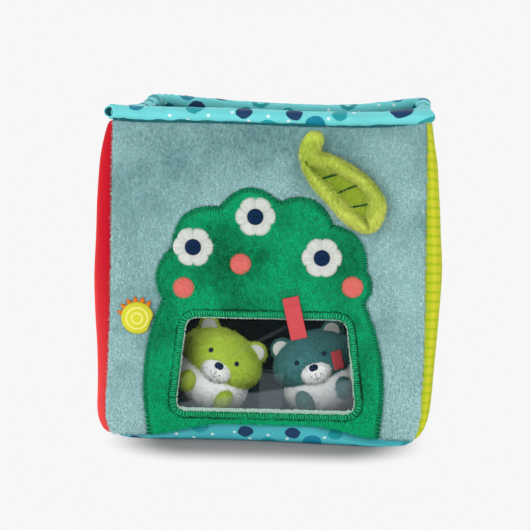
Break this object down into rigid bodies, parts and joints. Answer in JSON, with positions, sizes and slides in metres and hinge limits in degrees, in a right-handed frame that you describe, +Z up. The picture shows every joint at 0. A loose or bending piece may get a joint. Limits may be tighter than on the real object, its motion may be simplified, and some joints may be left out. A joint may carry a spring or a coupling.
{
  "type": "soft activity cube",
  "caption": "Open-topped soft fabric cube with padded walls, a clear front window, a rolled rim, sewn flaps and stuffed bears that lift out.",
  "frame": {"origin": "on the floor, under the middle of the base", "axes": "+Z up, -Y out of the front panel with the window, +X to the right of someone who faces the window"},
  "size_m": [0.239, 0.2184, 0.2226],
  "materials": {
    "plush": "short grey-green plush",
    "red_knit": "smooth red knit",
    "check": "yellow cotton with a lime check",
    "lining": "thin woven lining",
    "wadding": "soft fleece wadding",
    "foam": "closed-cell foam board",
    "print": "turquoise printed cotton",
    "green_plush": "dark green plush with a satin-stitched edge",
    "white_embroidery": "white satin embroidery",
    "coral": "coral ribbon and felt",
    "film": "clear soft film",
    "lime_plush": "short lime plush",
    "leaf_velour": "darker green velour with stitched veins",
    "white_plush": "white plush",
    "teal_plush": "short teal plush",
    "yellow_felt": "yellow felt",
    "orange_felt": "orange felt"
  },
  "bodies": {
    "cube": {"front_cover": "plush", "back_cover": "plush", "left_cover": "red_knit", "right_cover": "check", "front_lining": "lining", "right_lining": "lining", "back_lining": "lining", "left_lining": "lining", "base_lining": "lining", "front_wadding": "wadding", "right_wadding": "wadding", "back_wadding": "wadding", "left_wadding": "wadding", "rim_front_filling": "wadding", "rim_right_filling": "wadding", "rim_back_filling": "wadding", "rim_left_filling": "wadding", "base_foam": "foam", "base_cover": "print", "rim_front_cover": "print", "rim_right_cover": "print", "rim_back_cover": "print", "rim_left_cover": "print", "applique": "green_plush", "blossom_left": "white_embroidery", "blossom_top": "white_embroidery", "blossom_right": "white_embroidery", "berry_left": "coral", "berry_middle": "coral", "berry_right": "coral", "window_film": "film"},
    "leaf": {"leaf_plush": "lime_plush", "leaf_field": "leaf_velour"},
    "ribbon": {"ribbon_tag": "coral"},
    "tab": {"tab_disc": "yellow_felt", "tab_rays": "orange_felt"},
    "toy_lime": {"toy_lime_head": "lime_plush", "toy_lime_body": "white_plush", "toy_lime_muzzle": "white_plush", "toy_lime_ear_left": "lime_plush", "toy_lime_ear_right": "lime_plush", "toy_lime_paw_left": "lime_plush", "toy_lime_paw_right": "lime_plush"},
    "toy_teal": {"toy_teal_head": "teal_plush", "toy_teal_body": "white_plush", "toy_teal_muzzle": "white_plush", "toy_teal_ear_left": "teal_plush", "toy_teal_ear_right": "teal_plush", "toy_teal_paw_left": "teal_plush", "toy_teal_paw_right": "teal_plush", "toy_teal_tag": "coral"}
  },
  "joints": [
    {"name": "leaf_flap", "type": "hinge", "parent": "cube", "child": "leaf", "pos_m": [0.02848, -0.1063, 0.19765], "axis": [-0.8271, 0, -0.5621], "range_deg": [0, 120]},
    {"name": "ribbon_flap", "type": "hinge", "parent": "cube", "child": "ribbon", "pos_m": [0.0153, -0.10425, 0.0957], "axis": [-0.9744, 0, -0.225], "range_deg": [0, 150]},
    {"name": "tab_flap", "type": "hinge", "parent": "cube", "child": "tab", "pos_m": [-0.07479, -0.10195, 0.07701], "axis": [0.3521, 0, 0.936], "range_deg": [0, 90], "stiffness_Nm_per_rad": 0.0003},
    {"name": "toy_lime_lift", "type": "slide", "parent": "cube", "child": "toy_lime", "axis": [0, 0, 1], "range_m": [0, 0.22]},
    {"name": "toy_teal_lift", "type": "slide", "parent": "cube", "child": "toy_teal", "axis": [0, 0, 1], "range_m": [0, 0.22]}
  ]
}
